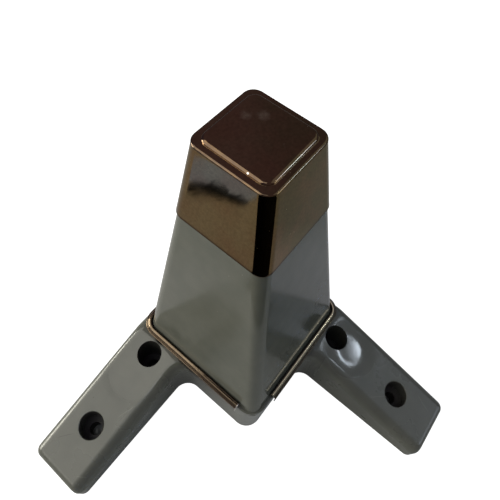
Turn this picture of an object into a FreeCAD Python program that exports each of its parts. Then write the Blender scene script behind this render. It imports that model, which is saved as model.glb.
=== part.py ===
import FreeCAD, Part
import math
import os

# Corner leg for a sofa or cabinet, standing on its mounting face with the foot up.
# The origin is where the leg's axis at the base meets the mounting face. +Z runs up to the foot,
# +X and +Y run along the two wings. All sizes are in millimetres.

# Flange with its two wings
flange_edge = 36.0  # leg's axis to the straight outer edges
flange_height = 29.9  # beside the plinth
flange_back_radius = 10.0
wing_width = 28.3
wing_reach = 97.8  # leg's axis to the end of a wing
wing_end_height = 11.0
wing_bend_radius = 10.0  # where the wing's top starts to fall
wing_end_round = 3.6  # upright and top edges of a wing's end
web_radius = 7.0  # hollow corner between a wing and the plinth
outer_edge_round = 3.8
inner_edge_round = 5.0

# Plinth under the leg
plinth_height = 34.0
ledge_width = 1.3  # plinth beyond the leg's wall
plinth_radius = 7.3
plinth_edge_round = 0.6

# Square leg, which narrows and leans towards its outer corner
leg_base_half = 30.7
leg_top_half = 19.4
leg_radius = 4.8
foot_shift = 11.5  # sideways move of the foot's centre, in X and in Y
shoulder_height = 110.3  # where the cap's rim rests

# Foot cap
cap_height = 29.7  # rim to ledge
cap_base_half = 19.8
cap_top_half = 15.5
cap_radius = 4.7
cap_wall = 1.8
cap_roof = 2.2
cap_edge_chamfer = 0.7
pad_half = 13.1  # raised square that meets the floor
pad_radius = 3.6
pad_rise = 1.0
pad_edge_round = 0.8
cap_clearance = 0.15
cap_top_clearance = 0.3

# Screw holes in the wings
inner_hole = 39.1  # leg's axis to the first hole
hole_spacing = 36.4
hole_row = 13.7  # flange's outer edge to the row of holes
screw_radius = 2.75
counterbore_radius = 5.5
screw_seat_height = 8.0  # plastic under the screw's head
counterbore_chamfer = 0.3

# Hollow underside
wall = 2.6
spigot_radius = 2.8
spigot_wall = 2.2
shoulder_roof = 2.4  # plastic under the ledge that carries the cap's rim
hollow_radius = 1.5  # upright corners of the hollow that have no round outside
spigot_roof = 2.5
rib = 2.2
post_rib_height = 70.0
boss_wall = 2.2

# Trim strip round the leg's foot
strip_width = 2.5
strip_thickness = 0.7  # either side of the groove
strip_groove_roof = 0.8
strip_clearance = 0.2  # to the leg's wall
strip_rise = 3.2  # over the plinth
strip_lift = 0.4  # skirt over the flange
strip_left_end = 22.8
strip_right_end = 19.5

plinth_half = leg_base_half + ledge_width
wing_inner = wing_width - flange_edge
wing_blank = wing_reach + 12.0  # before its end is cut off
cap_top_height = shoulder_height + cap_height
total_height = cap_top_height + pad_rise
hole_line = hole_row - flange_edge
hole_places = [inner_hole, inner_hole + hole_spacing]
above = total_height + 10.0
below = -10.0


def vec(x, y, z=0.0):
    return FreeCAD.Vector(x, y, z)


def rounded_outline(corners, z):
    """Closed wire through corners given as (x, y, radius), each corner turned into an arc."""
    count = len(corners)
    arcs = []
    for i in range(count):
        corner = vec(corners[i][0], corners[i][1], z)
        before = vec(corners[i - 1][0], corners[i - 1][1], z) - corner
        after = vec(corners[(i + 1) % count][0], corners[(i + 1) % count][1], z) - corner
        before.normalize()
        after.normalize()
        half_angle = before.getAngle(after) / 2
        radius = corners[i][2]
        setback = radius / math.tan(half_angle)
        middle = before + after
        middle.normalize()
        apex = corner + middle * (radius / math.sin(half_angle) - radius)
        arcs.append((corner + before * setback, apex, corner + after * setback))
    edges = []
    for i in range(count):
        start, apex, end = arcs[i]
        edges.append(Part.Arc(start, apex, end).toShape())
        edges.append(Part.LineSegment(end, arcs[(i + 1) % count][0]).toShape())
    return Part.Wire(edges)


def rounded_box(low, high, radius, z_low, z_high):
    """Upright block between two plan corners, with round upright edges."""
    corners = [(low[0], low[1], radius), (high[0], low[1], radius),
               (high[0], high[1], radius), (low[0], high[1], radius)]
    return Part.Face(rounded_outline(corners, z_low)).extrude(vec(0, 0, z_high - z_low))


def lean(z):
    """Sideways place of the leg's centre at a height."""
    return -foot_shift * (z - plinth_height) / (cap_top_height - plinth_height)


def between(z, z_low, value_low, z_high, value_high):
    return value_low + (value_high - value_low) * (z - z_low) / (z_high - z_low)


def leg_half_at(z):
    return between(z, plinth_height, leg_base_half, shoulder_height, leg_top_half)


def cap_half_at(z):
    return between(z, shoulder_height, cap_base_half, cap_top_height, cap_top_half)


def tapered_block(z_low, half_low, z_high, half_high, radius):
    """Square block with flat walls that taper and lean with the leg, and round upright edges."""
    low = lean(z_low)
    high = lean(z_high)
    block = Part.makeWedge(low - half_low, z_low, -low - half_low, -high - half_high, high - half_high,
                           low + half_low, z_high, -low + half_low, -high + half_high, high + half_high)
    block.rotate(vec(0, 0, 0), vec(1, 0, 0), 90)
    upright = [e for e in block.Edges if e.BoundBox.ZLength > (z_high - z_low) / 2]
    return block.makeFillet(radius, upright)


def mirrored(shape):
    """The same shape on the other wing."""
    return shape.mirror(vec(0, 0, 0), vec(1, -1, 0))


def wing_fall():
    """Angle of the wing's top, so that it runs from the bend down to the wing's end."""
    angle = 0.0
    for _ in range(30):
        drop = flange_height - wing_end_height - wing_bend_radius * (1 - math.cos(angle))
        run = wing_reach - plinth_half - wing_bend_radius * math.sin(angle)
        angle = math.atan(drop / run)
    return angle


def over_wing(depth):
    """Everything above the wing's falling top, sunk by a depth measured square to that top."""
    angle = wing_fall()
    radius = wing_bend_radius - depth
    start = vec(plinth_half, below - flange_edge, flange_height - depth)
    middle = start + vec(radius * math.sin(angle / 2), 0, -radius * (1 - math.cos(angle / 2)))
    end = start + vec(radius * math.sin(angle), 0, -radius * (1 - math.cos(angle)))
    run = 2 * wing_reach - end.x
    far = end + vec(run, 0, -run * math.tan(angle))
    far_top = vec(far.x, far.y, above)
    start_top = vec(start.x, start.y, above)
    edges = [Part.Arc(start, middle, end).toShape(), Part.makeLine(end, far),
             Part.makeLine(far, far_top), Part.makeLine(far_top, start_top),
             Part.makeLine(start_top, start)]
    return Part.Face(Part.Wire(edges)).extrude(vec(0, 2 * wing_reach, 0))


def flange_outline():
    """Plan of both wings and the plinth in one L, with the wings still too long."""
    far = wing_blank
    edge = -flange_edge
    return rounded_outline([
        (edge, edge, flange_back_radius), (far, edge, flange_back_radius),
        (far, wing_inner, flange_back_radius), (plinth_half, wing_inner, web_radius),
        (plinth_half, plinth_half, plinth_radius), (wing_inner, plinth_half, web_radius),
        (wing_inner, far, flange_back_radius), (edge, far, flange_back_radius)], 0)


def top_round_at(point):
    """Small rounding along the straight outer edges, a large soft one along the inner edges."""
    near_outer_edge = min(point.x, point.y) < -flange_edge + wing_width / 2
    return outer_edge_round if near_outer_edge else inner_edge_round


def with_round_top(block, outline):
    """Round the top edges that lie over the outline, with a radius set at each end of an edge."""
    rows = []
    for number, edge in enumerate(block.Edges, 1):
        start = edge.firstVertex(True).Point
        end = edge.lastVertex(True).Point
        middle = edge.valueAt((edge.FirstParameter + edge.LastParameter) / 2)
        upright = math.hypot(start.x - end.x, start.y - end.y) < 0.001
        over_outline = outline.distToShape(Part.Vertex(middle.x, middle.y, 0))[0] < 0.001
        if over_outline and not upright and min(start.z, end.z) > 0.001:
            rows.append((number, top_round_at(start), top_round_at(end)))
    document = FreeCAD.newDocument("rounding")
    base = document.addObject("Part::Feature", "base")
    base.Shape = block
    fillet = document.addObject("Part::Fillet", "fillet")
    fillet.Base = base
    fillet.Edges = rows
    document.recompute()
    return fillet.Shape.copy()


def with_wing_ends(block):
    """Cut both wings to length and round the upright and top edges of their ends."""
    side = wing_reach + flange_edge
    block = block.common(Part.makeBox(side, side, above, vec(-flange_edge, -flange_edge, 0)))
    ends = []
    for edge in block.Edges:
        box = edge.BoundBox
        at_end = max(box.XMin, box.YMin) > wing_reach - 0.001
        if at_end and box.ZMax > 0.001:
            ends.append(edge)
    return block.makeFillet(wing_end_round, ends)


def flange():
    outline = flange_outline()
    block = Part.Face(outline).extrude(vec(0, 0, flange_height))
    block = block.cut(over_wing(0)).cut(mirrored(over_wing(0)))
    return with_wing_ends(with_round_top(block, outline))


def plinth():
    block = rounded_box((-plinth_half, -plinth_half), (plinth_half, plinth_half),
                        plinth_radius, 0, plinth_height)
    top_edges = [e for e in block.Edges if e.BoundBox.ZMin > plinth_height - 0.001]
    return block.makeFillet(plinth_edge_round, top_edges)


def leg_post():
    """Square leg from inside the plinth to the shoulder."""
    z_low = plinth_height - wall
    return tapered_block(z_low, leg_half_at(z_low), shoulder_height, leg_top_half, leg_radius)


def spigot_half_at(z):
    return cap_half_at(z) - cap_wall - cap_clearance


def spigot():
    """Reduced end of the leg that fills the cap."""
    z_low = shoulder_height - shoulder_roof
    top = cap_top_height - cap_roof - cap_top_clearance
    return tapered_block(z_low, spigot_half_at(z_low), top, spigot_half_at(top), spigot_radius)


def post_hollow():
    """Hollow of the flange's corner and the plinth, then of the leg, then of the spigot."""
    back = wall - flange_edge
    front = plinth_half - wall
    plan = Part.Face(rounded_outline([
        (back, back, flange_back_radius - wall), (front, back, hollow_radius),
        (front, front, plinth_radius - wall), (back, front, hollow_radius)], below))
    flange_ceiling = flange_height - wall
    base = plan.extrude(vec(0, 0, flange_ceiling - below))
    ceiling = shoulder_height - shoulder_roof
    z_low = flange_ceiling - wall
    middle = tapered_block(z_low, leg_half_at(z_low) - wall, ceiling, leg_half_at(ceiling) - wall,
                           hollow_radius).common(plan.extrude(vec(0, 0, above - below)))
    top = cap_top_height - cap_roof - cap_top_clearance - spigot_roof
    z_low = ceiling - wall
    upper = tapered_block(z_low, spigot_half_at(z_low) - spigot_wall,
                          top, spigot_half_at(top) - spigot_wall, hollow_radius)
    return base.fuse([middle, upper])


def wing_hollow():
    """Hollow of one wing, under a roof that follows the wing's top."""
    block = rounded_box((plinth_half, wall - flange_edge), (wing_reach - wall, wing_inner - wall),
                        wing_end_round - wall, below, flange_height)
    return block.cut(over_wing(wall))


def wing_ribs():
    """Rib along the row of holes, and a cross rib half way between them."""
    half = rib / 2
    long_rib = Part.makeBox(wing_reach - plinth_half, rib, above - below,
                            vec(plinth_half, hole_line - half, below))
    middle = inner_hole + hole_spacing / 2
    cross_rib = Part.makeBox(rib, wing_width, above - below,
                             vec(middle - half, -flange_edge, below))
    return [long_rib, cross_rib]


def screw_bosses():
    radius = counterbore_radius + boss_wall
    return [Part.makeCylinder(radius, above - below, vec(x, hole_line, below)) for x in hole_places]


def post_ribs():
    """Two ribs that cross on the leg's axis."""
    half = rib / 2
    reach = 2 * flange_edge
    height = post_rib_height - below
    return [Part.makeBox(reach, rib, height, vec(-flange_edge, -half, below)),
            Part.makeBox(rib, reach, height, vec(-half, -flange_edge, below))]


def screw_holes():
    """Counterbored holes of one wing."""
    holes = []
    for x in hole_places:
        holes.append(Part.makeCylinder(screw_radius, above - below, vec(x, hole_line, below)))
        holes.append(Part.makeCylinder(counterbore_radius, above, vec(x, hole_line, screw_seat_height)))
    return holes


def with_chamfered_rims(body):
    """Chamfer the edge where each counterbore opens in the wing's top."""
    rims = []
    for edge in body.Edges:
        box = edge.BoundBox
        middle = box.Center
        for x in hole_places:
            for place in ((x, hole_line), (hole_line, x)):
                centred = math.hypot(middle.x - place[0], middle.y - place[1]) < 0.01
                round_rim = abs(box.XLength - 2 * counterbore_radius) < 0.01
                if centred and round_rim and box.ZMin > screw_seat_height + 0.01:
                    rims.append(edge)
    return body.makeChamfer(counterbore_chamfer, rims)


def leg_body():
    """One moulding: flange with wings, plinth, leg and spigot, hollow and ribbed from below."""
    solid = flange().fuse([plinth(), leg_post(), spigot()]).removeSplitter()
    wing_side = wing_hollow().cut(wing_ribs() + screw_bosses())
    bosses = screw_bosses() + [mirrored(boss) for boss in screw_bosses()]
    middle = post_hollow().cut(post_ribs() + bosses)
    solid = solid.cut([middle, wing_side, mirrored(wing_side)])
    holes = screw_holes()
    solid = solid.cut(holes + [mirrored(hole) for hole in holes])
    return with_chamfered_rims(solid)


def foot_cap():
    """Thin shell over the spigot, with a raised square pad on its end."""
    shell = tapered_block(shoulder_height, cap_base_half, cap_top_height, cap_top_half, cap_radius)
    top_edges = [e for e in shell.Edges if e.BoundBox.ZMin > cap_top_height - 0.001]
    shell = shell.makeChamfer(cap_edge_chamfer, top_edges)
    pad_low = lean(cap_top_height) - pad_half
    pad_high = lean(cap_top_height) + pad_half
    pad = rounded_box((pad_low, pad_low), (pad_high, pad_high), pad_radius,
                      cap_top_height - cap_roof / 2, total_height)
    pad_edges = [e for e in pad.Edges if e.BoundBox.ZMin > total_height - 0.001]
    pad = pad.makeFillet(pad_edge_round, pad_edges)
    z_low = shoulder_height - cap_wall
    ceiling = cap_top_height - cap_roof
    hollow = tapered_block(z_low, cap_half_at(z_low) - cap_wall,
                           ceiling, cap_half_at(ceiling) - cap_wall, cap_radius - cap_wall)
    return shell.fuse(pad).cut(hollow).removeSplitter()


def strip_path(offset, z):
    """Line round the leg at a distance from its base wall, open at the front corner."""
    half = leg_base_half + offset
    radius = leg_radius + offset
    centre = half - radius
    turn = radius * math.sqrt(0.5)
    edges = [Part.makeLine(vec(half, strip_left_end, z), vec(half, -centre, z))]
    points = []
    for sx, sy in ((1, -1), (-1, -1), (-1, 1)):
        side_x = vec(sx * half, sy * centre, z)
        side_y = vec(sx * centre, sy * half, z)
        apex = vec(sx * (centre + turn), sy * (centre + turn), z)
        if sx == sy:
            side_x, side_y = side_y, side_x
        points.append((side_x, apex, side_y))
    for i, (start, apex, end) in enumerate(points):
        edges.append(Part.Arc(start, apex, end).toShape())
        after = points[i + 1][0] if i + 1 < len(points) else vec(strip_right_end, half, z)
        edges.append(Part.makeLine(end, after))
    return Part.Wire(edges)


def strip_section():
    """Hook's section at the strip's left end: inner foot, half-round back, outer skirt."""
    inner = leg_base_half + strip_clearance
    outer = inner + strip_width
    radius = strip_width / 2
    middle = inner + radius
    top = plinth_height + strip_rise
    spring = top - radius
    groove_top = top - strip_groove_roof
    groove_inner = inner + strip_thickness
    groove_outer = outer - strip_thickness
    foot = plinth_height
    skirt = flange_height + strip_lift
    y = strip_left_end
    back = Part.Arc(vec(inner, y, spring), vec(middle, y, top), vec(outer, y, spring)).toShape()
    return Part.Wire([
        Part.makeLine(vec(inner, y, foot), vec(inner, y, spring)),
        back,
        Part.makeLine(vec(outer, y, spring), vec(outer, y, skirt)),
        Part.makeLine(vec(outer, y, skirt), vec(groove_outer, y, skirt)),
        Part.makeLine(vec(groove_outer, y, skirt), vec(groove_outer, y, groove_top)),
        Part.makeLine(vec(groove_outer, y, groove_top), vec(groove_inner, y, groove_top)),
        Part.makeLine(vec(groove_inner, y, groove_top), vec(groove_inner, y, foot)),
        Part.makeLine(vec(groove_inner, y, foot), vec(inner, y, foot))])


def trim_strip():
    """Bright strip that hooks over the plinth's edge and runs round three corners of the leg."""
    path = strip_path(strip_clearance + strip_width / 2, plinth_height)
    return path.makePipeShell([strip_section()], True, True)


os.makedirs("parts", exist_ok=True)
pieces = {"leg_body": leg_body(), "foot_cap": foot_cap(), "trim_strip": trim_strip()}
for name, shape in pieces.items():
    shape.exportStep("parts/" + name + ".step")
    print(name, "valid" if shape.isValid() else "not valid", len(shape.Solids), "solid",
          round(shape.Volume / 1000, 2), "cm3")
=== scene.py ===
import math

import bpy
from mathutils import Matrix, Quaternion, Vector


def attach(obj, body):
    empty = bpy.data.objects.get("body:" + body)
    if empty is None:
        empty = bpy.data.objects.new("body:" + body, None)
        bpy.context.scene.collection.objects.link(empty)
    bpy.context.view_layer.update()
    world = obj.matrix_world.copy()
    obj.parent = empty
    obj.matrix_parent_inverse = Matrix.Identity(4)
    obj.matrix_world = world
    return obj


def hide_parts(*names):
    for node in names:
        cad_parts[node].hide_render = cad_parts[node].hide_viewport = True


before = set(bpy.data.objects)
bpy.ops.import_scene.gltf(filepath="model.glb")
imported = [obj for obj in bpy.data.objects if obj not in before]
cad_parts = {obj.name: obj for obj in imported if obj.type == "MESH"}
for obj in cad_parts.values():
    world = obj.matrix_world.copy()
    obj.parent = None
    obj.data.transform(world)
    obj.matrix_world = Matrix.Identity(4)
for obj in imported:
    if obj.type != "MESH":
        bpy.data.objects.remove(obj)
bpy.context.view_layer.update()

# Leg body: one injection moulding in grey ABS, with the wings, the plinth, the leg and the spigot
# in one piece. Four screws through its wings hold it under the furniture. The plastic sank a
# little beside the inner screw bosses as it cooled, which bends the reflections there.
MM = 0.001
LEG_GREY = "#585850"
LEG_GREY_COOL = "#52544f"
LEG_GREY_PALE = "#5f5f58"
# painted shade inside the counterbores
BORE_SHADE_GREY = "#2b2a27"
SCRATCH_DARK = "#33332e"
DUST_PALE = "#8f8f86"
CLOUD = 45.0  # pattern sizes in millimetres
MOTTLE = 7.0
HAZE_PATCH = 16.0
WAVE = 26.0
DUST_SPACING = 5.0
WAVE_RISE = 0.18
SCRATCH_HALF = 0.17  # wider than a real hairline, so that it shows
SCRATCH_BEND = 5.0
SCRATCH_SWAY = 0.6
SCRATCH_TAPER = 1.5
# each scratch's start and end in plan, with its colour and strength
SCRATCHES = (
    ((88.4, -31.1), (82.3, -26.2), SCRATCH_DARK, 0.75),
    ((58.0, -12.5), (66.5, -15.5), DUST_PALE, 0.3),
    ((93.0, -14.0), (90.0, -9.5), DUST_PALE, 0.3),
    ((-12.0, 66.0), (-17.5, 71.5), DUST_PALE, 0.3),
    ((-30.0, 84.0), (-27.0, 92.5), DUST_PALE, 0.25),
)
BORE_ROW = -22.3  # line of the screw holes, across each wing
BORE_PLACES = (39.1, 75.5)
BORE_RADIUS = 5.5
SINKS = ((47.5, -22.7), (-22.7, 47.5))
SINK_START, SINK_END = 4.45, 16.0
SINK_POWER = 2.57  # how late the dish's slope starts
SINK_SLOPE = 5.4
PLINTH_TOP = 34.0


def linear(code):
    """sRGB hex colour as linear red, green, blue and alpha."""
    parts = [int(code[i:i + 2], 16) / 255 for i in (1, 3, 5)]
    return [p / 12.92 if p <= 0.04045 else ((p + 0.055) / 1.055) ** 2.4 for p in parts] + [1.0]


def add(tree, kind, *values, named=None, **settings):
    """Add a shader node, set its properties, and fill its inputs with values or links.

    The values go to the inputs in use, in their order, and the named ones to inputs by name. A
    node given as a value stands for its first output in use.
    """
    node = tree.nodes.new("ShaderNode" + kind)
    for name, value in settings.items():
        setattr(node, name, value)
    pairs = list(zip((socket for socket in node.inputs if socket.enabled), values))
    pairs += [(node.inputs[name], value) for name, value in (named or {}).items()]
    for socket, value in pairs:
        if isinstance(value, bpy.types.Node):
            value = next(output for output in value.outputs if output.enabled)
        if isinstance(value, bpy.types.NodeSocket):
            tree.links.new(value, socket)
        else:
            socket.default_value = value
    return node


def new_material(name):
    material = bpy.data.materials.new(name)
    material.use_nodes = True
    material.node_tree.nodes.clear()
    return material, material.node_tree


def scratch(tree, place, start, end):
    """Mask of a crooked hairline between two points of the plan, in millimetres."""
    length = math.dist(start, end)
    ax, ay = (end[0] - start[0]) / length, (end[1] - start[1]) / length
    offset = add(tree, "VectorMath", place, (start[0] * MM, start[1] * MM, 0), operation="SUBTRACT")
    along = add(tree, "VectorMath", offset, (ax, ay, 0), operation="DOT_PRODUCT")
    aside = add(tree, "VectorMath", offset, (-ay, ax, 0), operation="DOT_PRODUCT")
    sway = add(tree, "TexNoise", place, 1 / (SCRATCH_BEND * MM))
    sway = add(tree, "Math", sway, 2 * SCRATCH_SWAY * MM, -SCRATCH_SWAY * MM, operation="MULTIPLY_ADD")
    aside = add(tree, "Math", aside, sway, operation="ADD")
    aside = add(tree, "Math", aside, operation="ABSOLUTE")
    line = add(tree, "MapRange", aside, 0.3 * SCRATCH_HALF * MM, SCRATCH_HALF * MM, 1.0, 0.0)
    from_middle = add(tree, "Math", along, length / 2 * MM, operation="SUBTRACT")
    from_middle = add(tree, "Math", from_middle, operation="ABSOLUTE")
    inside = add(tree, "MapRange", from_middle, (length / 2 - SCRATCH_TAPER) * MM, length / 2 * MM, 1.0, 0.0)
    return add(tree, "Math", line, inside, operation="MULTIPLY")


def from_axis(tree, place, x, y):
    """Distance in plan from an upright line, whose place is in millimetres."""
    offset = add(tree, "VectorMath", place, (x * MM, y * MM, 0), operation="SUBTRACT")
    flat = add(tree, "VectorMath", offset, (1, 1, 0), operation="MULTIPLY")
    return add(tree, "VectorMath", flat, operation="LENGTH")


# polished mould walls give a wet gloss, over a grey that drifts a little between warm and cool
leg_abs, tree = new_material("gloss_moulded_ABS_grey")
place = add(tree, "TexCoord").outputs["Object"]
clouds = add(tree, "TexNoise", place, 1 / (CLOUD * MM))
grey = add(tree, "Mix", clouds, linear(LEG_GREY), linear(LEG_GREY_COOL), data_type="RGBA")
mottle = add(tree, "TexNoise", place, 1 / (MOTTLE * MM), 4.0)
mottle = add(tree, "MapRange", mottle, 0.35, 0.75, 0.0, 0.6)
grey = add(tree, "Mix", mottle, grey, linear(LEG_GREY_PALE), data_type="RGBA")
for start, end, colour, strength in SCRATCHES:
    mask = add(tree, "Math", scratch(tree, place, start, end), strength, operation="MULTIPLY")
    grey = add(tree, "Mix", mask, grey, linear(colour), data_type="RGBA")

# dust: a pale speck in some of the pattern's cells
dust = add(tree, "TexVoronoi", place, 1 / (DUST_SPACING * MM))
speck = add(tree, "MapRange", dust.outputs["Distance"], 0.025, 0.045, 0.5, 0.0)
dusty_cell = add(tree, "MapRange", dust.outputs["Color"], 0.55, 0.6)
speck = add(tree, "Math", speck, dusty_cell, operation="MULTIPLY")
grey = add(tree, "Mix", speck, grey, linear(DUST_PALE), data_type="RGBA")

# painted shade: the counterbores are painted dark inside, where shade falls, and are dull there
bore_shade_mask = 0.0
for x, y in [(at, BORE_ROW) for at in BORE_PLACES] + [(BORE_ROW, at) for at in BORE_PLACES]:
    away = from_axis(tree, place, x, y)
    inside = add(tree, "MapRange", away, (BORE_RADIUS - 0.05) * MM, (BORE_RADIUS + 0.12) * MM, 1.0, 0.0)
    bore_shade_mask = add(tree, "Math", bore_shade_mask, inside, operation="MAXIMUM")
grey = add(tree, "Mix", bore_shade_mask, grey, linear(BORE_SHADE_GREY), data_type="RGBA")

# hands have dulled the wings, and less the leg; the skin waves a little, and dips at the sinks
haze = add(tree, "TexNoise", place, 1 / (HAZE_PATCH * MM), 5.0)
haze = add(tree, "MapRange", haze, 0.4, 0.75, 0.07, 0.15)
split = add(tree, "SeparateXYZ", place)
outward = add(tree, "Math", split.outputs["X"], split.outputs["Y"], operation="MAXIMUM")
on_wings = add(tree, "MapRange", outward, 33 * MM, 42 * MM, 0.0, 0.2)
on_leg = add(tree, "MapRange", split.outputs["Z"], (PLINTH_TOP - 1) * MM, (PLINTH_TOP + 16) * MM, 0.0, 0.05)
handled = add(tree, "Math", on_wings, on_leg, operation="MAXIMUM")
height = add(tree, "TexNoise", place, 1 / (WAVE * MM), 1.0)
height = add(tree, "Math", height, WAVE_RISE, operation="MULTIPLY")
for x, y in SINKS:
    away = add(tree, "MapRange", from_axis(tree, place, x, y), SINK_START * MM, SINK_END * MM)
    rise = add(tree, "Math", away, SINK_POWER, operation="POWER")
    rise = add(tree, "Math", rise, SINK_POWER, operation="DIVIDE")
    ease = add(tree, "Math", away, SINK_POWER + 1, operation="POWER")
    ease = add(tree, "Math", ease, SINK_POWER + 1, operation="DIVIDE")
    dish = add(tree, "Math", rise, ease, operation="SUBTRACT")
    height = add(tree, "Math", dish, SINK_SLOPE, height, operation="MULTIPLY_ADD")
    outside = add(tree, "MapRange", away, 0.6, 0.72)
    handled = add(tree, "Math", handled, outside, operation="MULTIPLY")
haze = add(tree, "Math", haze, handled, operation="ADD")
bore_haze = add(tree, "Math", bore_shade_mask, 0.5, operation="MULTIPLY")
haze = add(tree, "Math", haze, bore_haze, operation="MAXIMUM")
bump = add(tree, "Bump", named={"Height": height, "Strength": 1.0, "Distance": 1.0 * MM})
skin = add(tree, "BsdfPrincipled", named={
    "Base Color": grey, "Roughness": haze, "IOR": 1.5, "Specular IOR Level": 0.5, "Normal": bump})
add(tree, "OutputMaterial", skin)
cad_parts["leg_body"].material_slots[0].material = leg_abs

# Foot cap: a thin moulded ABS shell, vacuum metallised in dark bronze. It slides over the spigot,
# and the raised square pad on its end meets the floor.
CAP_BRONZE = "#816b4c"
CAP_REDDISH = "#7d6044"
CAP_PAINTED_RIGHT_TINT = "#6c5d3e"
CAP_LIP_BROWN = "#38241a"
CAP_SMUDGE = "#a39a78"
CAP_GLINT = "#f4efe6"
CAP_LEFT_EDGE_PAINTED_TONE = "#56493f"
CAP_RIM = 110.3  # heights
CAP_ROOF = 137.8
CAP_TOP = 140.0
PAD_TOP = 141.0
CAP_LOW_HALF = 19.8  # half widths, at the rim and at the top
CAP_TOP_HALF = 15.5
PAD_HALF = 13.1
CAP_WALL = 1.8
CAP_RADIUS = 4.7  # upright corners
CAP_INNER_RADIUS = 2.9
PAD_RADIUS = 3.6
LIP_ROUND = 0.3
TOP_ROUND = 0.8
FOOT_SHIFT = 11.5
BLOTCH = 9.0  # pattern sizes
CAP_GRAIN = 0.9
CAP_DUST_SPACING = 3.2
CAP_WAVE = 11.0
CAP_WAVE_RISE = 0.05
# places in plan, with radii
SMUDGES = ((-14.5, -19.6, 3.0), (-18.1, -15.7, 3.2), (-12.9, -4.4, 2.0))
GLINTS = ((1.4, -6.0, 0.4), (1.3, -23.8, 0.6))


def lean(z):
    """Sideways place of the leg's centre at a height, in millimetres."""
    return -FOOT_SHIFT * (z - PLINTH_TOP) / (CAP_TOP - PLINTH_TOP)


def cap_half(z):
    """Half width of the cap's outside at a height."""
    return CAP_LOW_HALF + (CAP_TOP_HALF - CAP_LOW_HALF) * (z - CAP_RIM) / (CAP_TOP - CAP_RIM)


def rounded_square(half, radius, steps=10):
    """Points round a square with round corners, anticlockwise from its right side."""
    points = []
    for quarter in range(4):
        middle = math.radians(90 * quarter + 45)
        centre = (half - radius) * math.sqrt(2)
        cx, cy = centre * math.cos(middle), centre * math.sin(middle)
        for i in range(steps + 1):
            a = middle + math.radians(-45 + 90 * i / steps)
            points.append((cx + radius * math.cos(a), cy + radius * math.sin(a)))
    return points


def arc(centre, middle_z, radius, start, end, steps):
    """Points (half width, z) on a rounded edge, from one angle above the horizontal to another."""
    angles = [math.radians(start + (end - start) * i / steps) for i in range(steps + 1)]
    return [(centre + radius * math.cos(a), middle_z + radius * math.sin(a)) for a in angles]


def skin_rings(rings):
    """Points and faces of a tube through closed rings of equal length."""
    count = len(rings[0])
    faces = []
    for r in range(len(rings) - 1):
        for i in range(count):
            j = (i + 1) % count
            faces.append((r * count + i, r * count + j, (r + 1) * count + j, (r + 1) * count + i))
    return [p for ring in rings for p in ring], faces


def mesh_object(name, points, faces, material, edge=0.0):
    """Smooth piece with even normals on its flats and, where a width is given, rounded sharp edges."""
    mesh = bpy.data.meshes.new(name)
    mesh.from_pydata([(x * MM, y * MM, z * MM) for x, y, z in points], [], faces)
    mesh.materials.append(material)
    mesh.shade_smooth()
    mesh.set_sharp_from_angle(angle=math.radians(50))
    piece = bpy.data.objects.new(name, mesh)
    bpy.context.scene.collection.objects.link(piece)
    if edge:
        bevel = piece.modifiers.new("edge", "BEVEL")
        bevel.width = edge * MM
        bevel.segments = 2
        bevel.limit_method = "ANGLE"
        bevel.angle_limit = math.radians(65)
    normals = piece.modifiers.new("normals", "WEIGHTED_NORMAL")
    normals.weight = 80
    normals.keep_sharp = True
    return piece


def band(tree, level, middle, core, reach):
    """Mask of the heights near a middle one: full within the core, none past the reach."""
    off = add(tree, "Math", level, middle * MM, operation="SUBTRACT")
    off = add(tree, "Math", off, operation="ABSOLUTE")
    return add(tree, "MapRange", off, core * MM, reach * MM, 1.0, 0.0)


# profile from the inside of the roof, down the inside, round the lip, up the outside to the pad
side_angle = math.degrees(math.atan((CAP_LOW_HALF - CAP_TOP_HALF) / (CAP_TOP - CAP_RIM)))
round_z = CAP_TOP - TOP_ROUND
round_centre = cap_half(round_z) - TOP_ROUND / math.cos(math.radians(side_angle))
pad_edge = arc(PAD_HALF - 0.30, PAD_TOP - 0.72, 0.30, 0, 38, 4)
pad_edge += arc(PAD_HALF - 1.294, PAD_TOP - 1.558, 1.6, 40, 68, 8)
pad_edge += arc(PAD_HALF - 0.97, PAD_TOP - 0.4, 0.4, 72, 90, 3)
profile = [(cap_half(CAP_ROOF) - 3.0, CAP_ROOF, 2.0),
           (cap_half(CAP_ROOF) - CAP_WALL, CAP_ROOF - 0.5, CAP_INNER_RADIUS),
           (cap_half(CAP_RIM) - CAP_WALL, CAP_RIM + 0.1, CAP_INNER_RADIUS),
           (cap_half(CAP_RIM) - CAP_WALL + 0.1, CAP_RIM, CAP_INNER_RADIUS + 0.1)]
profile += [(half, z, CAP_RADIUS) for half, z in
            arc(cap_half(CAP_RIM) - LIP_ROUND, CAP_RIM + LIP_ROUND, LIP_ROUND, -90, 0, 4)]
profile += [(cap_half(z), z, CAP_RADIUS) for z in (CAP_RIM + 0.8, CAP_RIM + 10, CAP_RIM + 20, round_z - 0.6)]
profile += [(half, z, CAP_RADIUS - (z - round_z)) for half, z in
            arc(round_centre, round_z, TOP_ROUND, side_angle, 90, 8)]
profile += [(PAD_HALF + 0.9, CAP_TOP, PAD_RADIUS + 0.1), (PAD_HALF + 0.3, CAP_TOP, PAD_RADIUS),
            (PAD_HALF + 0.06, CAP_TOP + 0.02, PAD_RADIUS), (PAD_HALF, CAP_TOP + 0.08, PAD_RADIUS)]
profile += [(half, z, PAD_RADIUS - (PAD_HALF - half)) for half, z in pad_edge]
flat_half = pad_edge[-1][0] - 1.2
profile.append((flat_half, PAD_TOP, PAD_RADIUS - (PAD_HALF - flat_half)))
rings = [[(x + lean(z), y + lean(z), z) for x, y in rounded_square(half, radius)]
         for half, z, radius in profile]
points, faces = skin_rings(rings)
count = len(rings[0])
faces.append(tuple(range(count - 1, -1, -1)))
faces.append(tuple(range(len(points) - count, len(points))))
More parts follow.
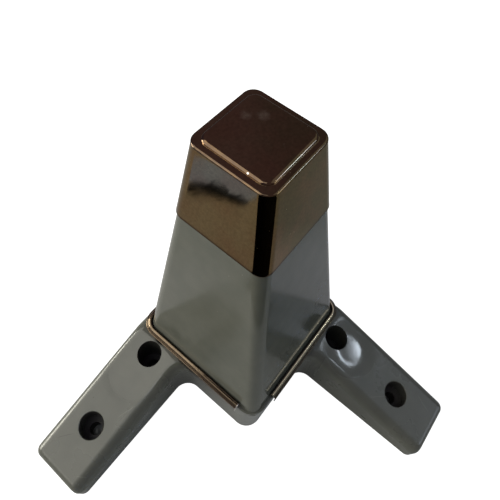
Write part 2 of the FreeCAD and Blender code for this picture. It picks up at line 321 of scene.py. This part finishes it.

# metal on a moulded skin mirrors the room, dark and warm; the bronze is painted more olive on the right
# side, a painted tint of the cooler light there
cap_finish, tree = new_material("metallised_ABS_dark_bronze")
place = add(tree, "TexCoord").outputs["Object"]
across = add(tree, "VectorMath", place, (-1, 1, 0), operation="DOT_PRODUCT")
# painted light: the right side gets an olive tint
painted_right_tint_mask = add(tree, "MapRange", across, -8 * MM, 8 * MM)
bronze = add(tree, "Mix", painted_right_tint_mask, linear(CAP_BRONZE), linear(CAP_PAINTED_RIGHT_TINT), data_type="RGBA")
blotch = add(tree, "TexNoise", place, 1 / (BLOTCH * MM), 5.0)
blotch = add(tree, "MapRange", blotch, 0.42, 0.68, 0.0, 0.8)
bronze = add(tree, "Mix", blotch, bronze, linear(CAP_REDDISH), data_type="RGBA")
grain = add(tree, "TexNoise", place, 1 / (CAP_GRAIN * MM), 3.0)
grain = add(tree, "MapRange", grain, 0.3, 0.75, 0.82, 1.1)
bronze = add(tree, "Mix", 1.0, bronze, grain, data_type="RGBA", blend_type="MULTIPLY")

# finger smudges on the pad, and dust: both dull the mirror as well as tinting it
greasy = 0.0
for x, y, radius in SMUDGES:
    away = add(tree, "VectorMath", place, (x * MM, y * MM, CAP_TOP * MM), operation="DISTANCE")
    ragged = add(tree, "TexNoise", place, 1 / (1.2 * MM), 4.0)
    ragged = add(tree, "Math", ragged, 2.5 * MM, away, operation="MULTIPLY_ADD")
    mark = add(tree, "MapRange", ragged, 0.6 * radius * MM, 1.2 * radius * MM, 0.7, 0.0)
    bronze = add(tree, "Mix", mark, bronze, linear(CAP_SMUDGE), data_type="RGBA")
    greasy = add(tree, "Math", greasy, mark, operation="MAXIMUM")
dust = add(tree, "TexVoronoi", place, 1 / (CAP_DUST_SPACING * MM))
speck = add(tree, "MapRange", dust.outputs["Distance"], 0.03, 0.06, 0.8, 0.0)
dusty_cell = add(tree, "MapRange", dust.outputs["Color"], 0.5, 0.55)
speck = add(tree, "Math", speck, dusty_cell, operation="MULTIPLY")
bronze = add(tree, "Mix", speck, bronze, linear(CAP_SMUDGE), data_type="RGBA")
greasy = add(tree, "Math", greasy, speck, operation="MAXIMUM")

# painted highlight tone on the pad's and the top's edges on the left side only, given a darker, pinker
# bronze; two painted glints; and the lip's brown line
level = add(tree, "SeparateXYZ", place).outputs["Z"]
pad_band = band(tree, level, PAD_TOP - 0.45, 0.3, 0.42)
top_band = band(tree, level, CAP_TOP - 0.42, 0.35, 0.41)
edge = add(tree, "Math", pad_band, top_band, operation="MAXIMUM")
patchy = add(tree, "TexNoise", place, 1 / (2.2 * MM), 3.0)
patchy = add(tree, "MapRange", patchy, 0.3, 0.6, 1.0, 0.6)
edge = add(tree, "Math", edge, patchy, operation="MULTIPLY")
# the painted tone is kept to the left side, where the left lamps light these edges
left = add(tree, "MapRange", across, -3 * MM, 0.0, 1.0, 0.0)
edge = add(tree, "Math", edge, left, operation="MULTIPLY")
bronze = add(tree, "Mix", edge, bronze, linear(CAP_LEFT_EDGE_PAINTED_TONE), data_type="RGBA")
# painted glints: two pale points on the pad's edge that shine as highlights
for x, y, radius in GLINTS:
    away = add(tree, "VectorMath", place, (x * MM, y * MM, (PAD_TOP - 0.3) * MM), operation="DISTANCE")
    mark = add(tree, "MapRange", away, 0.6 * radius * MM, radius * MM, 0.95, 0.0)
    bronze = add(tree, "Mix", mark, bronze, linear(CAP_GLINT), data_type="RGBA")
lip = add(tree, "MapRange", level, (CAP_RIM + 0.5) * MM, (CAP_RIM + 1.3) * MM, 0.85, 0.0)
bronze = add(tree, "Mix", lip, bronze, linear(CAP_LIP_BROWN), data_type="RGBA")
smear = add(tree, "TexNoise", place, 1 / (14 * MM), 4.0)
smear = add(tree, "MapRange", smear, 0.45, 0.7, 0.05, 0.12)
smear = add(tree, "Math", greasy, 0.35, smear, operation="MULTIPLY_ADD")
height = add(tree, "TexNoise", place, 1 / (CAP_WAVE * MM), 1.0)
dents = add(tree, "Bump", named={"Height": height, "Strength": 1.0, "Distance": CAP_WAVE_RISE * MM})
skin = add(tree, "BsdfPrincipled", named={
    "Base Color": bronze, "Metallic": 1.0, "Roughness": smear, "Normal": dents})
add(tree, "OutputMaterial", skin)
cap = mesh_object("foot_cap_shell", points, faces, cap_finish)
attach(cap, "root")
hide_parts("foot_cap")

# Trim strip: a thin moulded ABS section, metallised bright rose bronze. It stands on the plinth's
# ledge beside the leg, hooks over the plinth's edge, and runs round three corners of the leg.
TRIM_BRONZE = "#6a5d4c"
TRIM_RUBBED = "#756957"
TRIM_SHADED_OLIVE = "#4a463a"
TRIM_CREST_HIGHLIGHT = "#dccfa8"
TRIM_CUT_HIGHLIGHT = "#dcdad4"
LEG_BASE_HALF = 30.7
LEG_CORNER = 4.8
WALL_GAP = 0.2
LEFT_END, RIGHT_END = 22.8, 19.5
STRIP_TOP = 37.15
STRIP_FOOT = PLINTH_TOP + 0.02
STRIP_WIDTH = 2.5
SKIRT_END = 30.3
SHARP_ROUND = 0.12  # on the section's sharpest edges
WORN_PATCH = 3.5  # pattern sizes
TRIM_GRAIN = 0.5
SMEAR_PATCH = 6.0
TRIM_WAVE = 5.0
TRIM_WAVE_RISE = 0.06


def strip_route(offset):
    """Plan of the strip's line at a distance from its inner face, from the left end to the right."""
    half = LEG_BASE_HALF + WALL_GAP + offset
    radius = LEG_CORNER + WALL_GAP + offset
    straight = half - radius
    route = [(half, LEFT_END + (-straight - LEFT_END) * i / 14) for i in range(14)]
    for turn in range(3):
        middle = math.radians(-45 - 90 * turn)
        cx, cy = math.copysign(straight, math.cos(middle)), math.copysign(straight, math.sin(middle))
        for i in range(13):
            a = middle + math.radians(45 - 90 * i / 12)
            route.append((cx + radius * math.cos(a), cy + radius * math.sin(a)))
        if turn < 2:
            ahead = math.radians(-90 - 90 * turn)
            for i in range(1, 16):
                along = 2 * straight * i / 16
                route.append((cx + radius * math.cos(ahead) + along * math.cos(ahead - math.pi / 2),
                              cy + radius * math.sin(ahead) + along * math.sin(ahead - math.pi / 2)))
    route += [(-straight + (RIGHT_END + straight) * i / 14, half) for i in range(1, 15)]
    return route


# the section as offset and height: foot and crest, round slope, groove, lip and skirt, inner side
section = [(0.0, STRIP_FOOT), (0.0, 36.6)] + arc(0.35, STRIP_TOP - 0.36, 0.35, 180, 84, 6)
section += arc(0.106, 35.412, 1.75, 80, 32, 14) + arc(1.42, 36.233, 0.2, 24, 0, 3)
section += [(1.70, 35.80)] + arc(1.915, 35.69, 0.12, 190, 265, 4)
section += arc(STRIP_WIDTH - 0.35, 35.22, 0.35, 95, 0, 6) + [(STRIP_WIDTH, 33.4), (STRIP_WIDTH, 32.0)]
section += arc(STRIP_WIDTH - 0.12, SKIRT_END + 0.12, 0.12, 0, -90, 3)
section += [(2.05, SKIRT_END), (2.05, 35.1), (1.45, 35.5), (1.4, 36.0), (0.9, 36.4), (0.5, 36.3),
            (0.5, STRIP_FOOT)]
lines = [[(x, y, z) for x, y in strip_route(offset)] for offset, z in section]
points, faces = skin_rings([list(ring) for ring in zip(*lines)])
faces = [tuple(reversed(face)) for face in faces]
count = len(section)
faces.append(tuple(range(count)))
faces.append(tuple(range(len(points) - 1, len(points) - count - 1, -1)))

# thin bright plating that hands have rubbed, rose on the left run; the other runs get painted shade, darker
# and olive, and a painted highlight, a pale gold line along their crest
trim_finish, tree = new_material("metallised_ABS_rose_bronze")
place = add(tree, "TexCoord").outputs["Object"]
worn = add(tree, "TexNoise", place, 1 / (WORN_PATCH * MM), 4.0)
worn = add(tree, "MapRange", worn, 0.4, 0.7, 0.0, 0.7)
rose = add(tree, "Mix", worn, linear(TRIM_BRONZE), linear(TRIM_RUBBED), data_type="RGBA")
grain = add(tree, "TexNoise", place, 1 / (TRIM_GRAIN * MM))
grain = add(tree, "MapRange", grain, 0.3, 0.75, 0.85, 1.1)
rose = add(tree, "Mix", 1.0, rose, grain, data_type="RGBA", blend_type="MULTIPLY")
split = add(tree, "SeparateXYZ", place)
across = add(tree, "Math", split.outputs["Y"], split.outputs["X"], operation="SUBTRACT")
# painted shade: the runs other than the left are darkened to olive
shaded_runs = add(tree, "MapRange", across, 0.0, 8 * MM)
rose = add(tree, "Mix", shaded_runs, rose, linear(TRIM_SHADED_OLIVE), data_type="RGBA")
# painted highlight: a pale gold line along the crest of the darker runs
crest_highlight = add(tree, "MapRange", split.outputs["Z"], (STRIP_TOP - 0.16) * MM, (STRIP_TOP - 0.12) * MM, 0.0, 0.9)
crest_highlight = add(tree, "Math", shaded_runs, crest_highlight, operation="MULTIPLY")
rose = add(tree, "Mix", crest_highlight, rose, linear(TRIM_CREST_HIGHLIGHT), data_type="RGBA")

# painted highlight: the left end's cut face is painted pale, as if it caught the light
at_end = add(tree, "MapRange", split.outputs["Y"], (LEFT_END - 0.45) * MM, (LEFT_END - 0.3) * MM)
left_run = add(tree, "MapRange", split.outputs["X"], 28 * MM, 29 * MM)
cut_highlight = add(tree, "Math", at_end, left_run, operation="MULTIPLY")
rose = add(tree, "Mix", cut_highlight, rose, linear(TRIM_CUT_HIGHLIGHT), data_type="RGBA")
smear = add(tree, "TexNoise", place, 1 / (SMEAR_PATCH * MM), 3.0)
smear = add(tree, "MapRange", smear, 0.35, 0.7, 0.14, 0.30)
height = add(tree, "TexNoise", place, 1 / (TRIM_WAVE * MM), 1.0)
dents = add(tree, "Bump", named={"Height": height, "Strength": 1.0, "Distance": TRIM_WAVE_RISE * MM})
skin = add(tree, "BsdfPrincipled", named={
    "Base Color": rose, "Metallic": 1.0, "Roughness": smear, "Normal": dents})
add(tree, "OutputMaterial", skin)
strip = mesh_object("trim_strip_section", points, faces, trim_finish, SHARP_ROUND)
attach(strip, "root")
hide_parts("trim_strip")

# Table: a plain pale laminate, a little under the mounting face. The camera sees it white. The
# gloss sees it dim, and a little brighter beside the leg, outside its wings.
TABLE_SIDE = 24.0  # metres
TABLE_DROP = 0.01
TABLE_WHITE = "#b4b4b4"
TABLE_MIRRORED = "#e9e6ef"
MIRRORED_FAR, MIRRORED_NEAR = 0.04, 0.2
SHADOW_REACH = 12.0


def stage_mesh(name, points, faces, material):
    """Object for the studio, from points in metres."""
    mesh = bpy.data.meshes.new(name)
    mesh.from_pydata(points, [], faces)
    mesh.materials.append(material)
    piece = bpy.data.objects.new(name, mesh)
    bpy.context.scene.collection.objects.link(piece)
    return piece


# a matt white with no gloss of its own, dark only in the contact shadow
paper, tree = new_material("pale_table_laminate")
path = add(tree, "LightPath")
mirrored = add(tree, "Math", path.outputs["Is Glossy Ray"], path.outputs["Is Transmission Ray"],
               operation="MAXIMUM")
place = add(tree, "TexCoord").outputs["Object"]
split = add(tree, "SeparateXYZ", place)
inward = add(tree, "Math", split.outputs["X"], split.outputs["Y"], operation="MINIMUM")
near = add(tree, "MapRange", inward, -40 * MM, -34 * MM, 1.0, 0.0)
reach = add(tree, "VectorMath", place, operation="LENGTH")
reach = add(tree, "MapRange", reach, 120 * MM, 150 * MM, 1.0, 0.0)
near = add(tree, "Math", near, reach, operation="MULTIPLY")
near = add(tree, "Math", mirrored, near, operation="MULTIPLY")
glow = add(tree, "Math", mirrored, MIRRORED_FAR, path.outputs["Is Camera Ray"], operation="MULTIPLY_ADD")
glow = add(tree, "Math", near, MIRRORED_NEAR, glow, operation="MULTIPLY_ADD")
shade = add(tree, "AmbientOcclusion", named={"Distance": SHADOW_REACH * MM}, samples=16)
open_sky = add(tree, "MapRange", shade.outputs["AO"], 0.22, 0.28)
glow = add(tree, "Math", glow, open_sky, operation="MULTIPLY")
tint = add(tree, "Mix", near, (1, 1, 1, 1), linear(TABLE_MIRRORED), data_type="RGBA")
light = add(tree, "Emission", tint, glow)
matt = add(tree, "BsdfDiffuse", linear(TABLE_WHITE))
add(tree, "OutputMaterial", add(tree, "AddShader", light, matt))
half = TABLE_SIDE / 2
corners = [(-half, -half, 0), (half, -half, 0), (half, half, 0), (-half, half, 0)]
floor = stage_mesh("floor", corners, [(0, 1, 2, 3)], paper)
floor.location.z = -TABLE_DROP * MM

# Lamps: warm windows on the left and in front, weaker cool ones on the right, and a ceiling light.
# A narrow slit is the crescent beside the right wing's hole. A gridded lamp, whose beam reaches
# the cap alone, is the white line on the pad's right edge. Their sizes are in metres.
LAMP_DISTANCE = 1.2
GRID_HALF = math.radians(5)
GRID_RADIANCE = 42.0


def softbox(name, azimuth, elevation, width, height, radiance, colour, roll=0.0, aim=60.0):
    """Area lamp that faces a height on the leg's axis, with its strength given as radiance."""
    lamp = bpy.data.lights.new(name, "AREA")
    lamp.shape = "RECTANGLE"
    lamp.size = width
    lamp.size_y = height
    lamp.energy = radiance * math.pi * width * height
    lamp.color = linear(colour)[:3]
    box = bpy.data.objects.new(name, lamp)
    bpy.context.scene.collection.objects.link(box)
    a, e = math.radians(azimuth), math.radians(elevation)
    out = Vector((math.cos(a) * math.cos(e), math.sin(a) * math.cos(e), math.sin(e)))
    box.location = Vector((0, 0, aim * MM)) + out * LAMP_DISTANCE
    facing = out.to_track_quat("Z", "Y") @ Quaternion((0, 0, 1), math.radians(roll))
    box.rotation_euler = facing.to_euler()
    return box


softbox("low_window", -60, 11, 0.6, 0.30, 20.5, "#fffcee")
softbox("tall_window", -42, 46, 1.2, 1.0, 2.1, "#fffdf4")
softbox("ceiling", 22, 64, 0.5, 0.30, 1.3, "#eef4ff")
softbox("side_window", 140, 48, 1.6, 0.80, 0.36, "#e2f2ff")
softbox("far_window", 112, 18, 0.50, 0.45, 2.3, "#e6f0ff")
softbox("front_window", -14, 23, 0.55, 0.42, 1.5, "#fffaf0")
softbox("window_slit", 123.9, 44.0, 0.075, 0.020, 28.0, "#e6f2ff", roll=37)
# a narrow beam is brighter in its middle by three over the half angle squared
grid = softbox("grid_lamp", 130, 25, 0.30, 0.10, GRID_RADIANCE * GRID_HALF ** 2 / 3, "#9cbaff", aim=140.0)
grid.data.spread = 2 * GRID_HALF

# Room: dim and even. It is white only to the camera, and a little lilac and brighter where the
# gloss mirrors it.
ROOM_LEVEL = 0.13
ROOM_MIRRORED = 0.035
ROOM_GREEN = "#f4fff6"
ROOM_LILAC = "#f2d8ff"
world = bpy.data.worlds.new("studio")
bpy.context.scene.world = world
world.use_nodes = True
tree = world.node_tree
tree.nodes.clear()
path = add(tree, "LightPath")
strength = add(tree, "MapRange", path.outputs["Is Camera Ray"], 0.0, 1.0, ROOM_LEVEL, 1.0)
strength = add(tree, "Math", path.outputs["Is Glossy Ray"], ROOM_MIRRORED, strength,
               operation="MULTIPLY_ADD")
tint = add(tree, "Mix", path.outputs["Is Glossy Ray"], linear(ROOM_GREEN), linear(ROOM_LILAC),
           data_type="RGBA")
tint = add(tree, "Mix", path.outputs["Is Camera Ray"], tint, (1, 1, 1, 1), data_type="RGBA")
add(tree, "OutputWorld", add(tree, "Background", tint, strength))

# Black card: a curved sheet in front of the leg, which only the gloss sees. The cap's front corner
# mirrors it as a black band, which narrows downwards because the card is shorter below.
CARD_BLACK = "#141414"
CARD_CENTRE = 5.0
CARD_RADIUS = 60.0
CARD_START = -12.0  # degrees
CARD_ROWS = ((58.0, 66.0), (125.0, 112.0))  # height, and the arc's end in degrees
CARD_STEPS = 17


def only_mirrored(piece):
    """Leave a studio piece to the gloss: neither the camera nor the light meets it."""
    piece.visible_camera = False
    piece.visible_diffuse = False
    piece.visible_shadow = False


# dead matt black, so that it stays black under every lamp
card_black, tree = new_material("black_card")
add(tree, "OutputMaterial", add(tree, "BsdfDiffuse", linear(CARD_BLACK)))
points = []
for z, end in CARD_ROWS:
    for i in range(CARD_STEPS + 1):
        a = math.radians(CARD_START + (end - CARD_START) * i / CARD_STEPS)
        points.append(((CARD_CENTRE + CARD_RADIUS * math.cos(a)) * MM,
                       (CARD_CENTRE + CARD_RADIUS * math.sin(a)) * MM, z * MM))
count = CARD_STEPS + 1
faces = [(i, i + 1, count + i + 1, count + i) for i in range(CARD_STEPS)]
card = stage_mesh("card", points, faces, card_black)
only_mirrored(card)

# Room's edge: a sheet on the table, which only the gloss sees. The cap's left face mirrors it as
# a lilac glow with a dark, ragged rim. Its rows follow the rim, from the dark side to the bright.
EDGE_LILAC = "#adc9ff"
EDGE_DARK = "#202428"
EDGE_ROWS = (
    ((164, -108), (171, -102), (179, -96), (184, -93), (190, -85), (195, -79), (209, -76)),
    ((190, -126), (195, -122), (199, -120), (210, -113), (212, -103), (215, -92), (218, -80)),
    ((205, -165), (215, -160), (225, -150), (240, -140), (250, -125), (255, -105), (255, -80)),
)
EDGE_LIFT = 0.5
# a glow that turns dark and then clear across the rim, with wisps a few millimetres wide
edge_glow, tree = new_material("room_edge")
fade = add(tree, "Attribute", attribute_name="fade").outputs["Fac"]
place = add(tree, "TexCoord").outputs["Object"]
wisp = add(tree, "TexNoise", place, 1 / (4 * MM))
wisp = add(tree, "Math", wisp, 0.5, operation="SUBTRACT")
fade = add(tree, "Math", wisp, 0.7, fade, operation="MULTIPLY_ADD")
bright = add(tree, "MapRange", fade, 0.98, 1.06)
lilac = add(tree, "Mix", bright, linear(EDGE_DARK), linear(EDGE_LILAC), data_type="RGBA")
strength = add(tree, "MapRange", fade, 1.0, 1.1, 1.0, 1.04)
light = add(tree, "Emission", lilac, strength)
solid = add(tree, "MapRange", fade, 0.1, 0.6)
mixed = add(tree, "MixShader", solid, add(tree, "BsdfTransparent"), light)
add(tree, "OutputMaterial", mixed)
points = [(x * MM, y * MM, EDGE_LIFT * MM) for row in EDGE_ROWS for x, y in row]
count = len(EDGE_ROWS[0])
faces = [(r * count + i, r * count + i + 1, (r + 1) * count + i + 1, (r + 1) * count + i)
         for r in range(len(EDGE_ROWS) - 1) for i in range(count - 1)]
sheet = stage_mesh("room_edge", points, faces, edge_glow)
layer = sheet.data.attributes.new("fade", "FLOAT", "POINT")
layer.data.foreach_set("value", [float(i // count) for i in range(len(points))])
only_mirrored(sheet)

# Camera: close above the leg and in front of its corner, as the photograph was taken.
EYE = (63.8645, 35.4122, 240.1797)
YAW, PITCH, ROLL = (math.radians(degrees) for degrees in (32.50413, 57.53979, 7.57646))
SENSOR = 36.0
FOCAL = 33.079
SHIFT_X, SHIFT_Y = 0.004496, -0.079863
back = Vector((math.cos(YAW) * math.cos(PITCH), math.sin(YAW) * math.cos(PITCH), math.sin(PITCH)))
level_right = (-back).cross(Vector((0, 0, 1))).normalized()
level_up = level_right.cross(-back)
right = level_right * math.cos(ROLL) + level_up * math.sin(ROLL)
up = level_up * math.cos(ROLL) - level_right * math.sin(ROLL)
lens = bpy.data.cameras.new("camera")
lens.sensor_width = SENSOR
lens.lens = FOCAL
lens.shift_x = SHIFT_X
lens.shift_y = SHIFT_Y
lens.clip_start = 0.005
camera = bpy.data.objects.new("camera", lens)
bpy.context.scene.collection.objects.link(camera)
turn = Matrix((right, up, back)).transposed().to_4x4()
camera.matrix_world = Matrix.Translation(Vector(EYE) * MM) @ turn
bpy.context.scene.camera = camera
bpy.context.scene.view_settings.view_transform = "Standard"
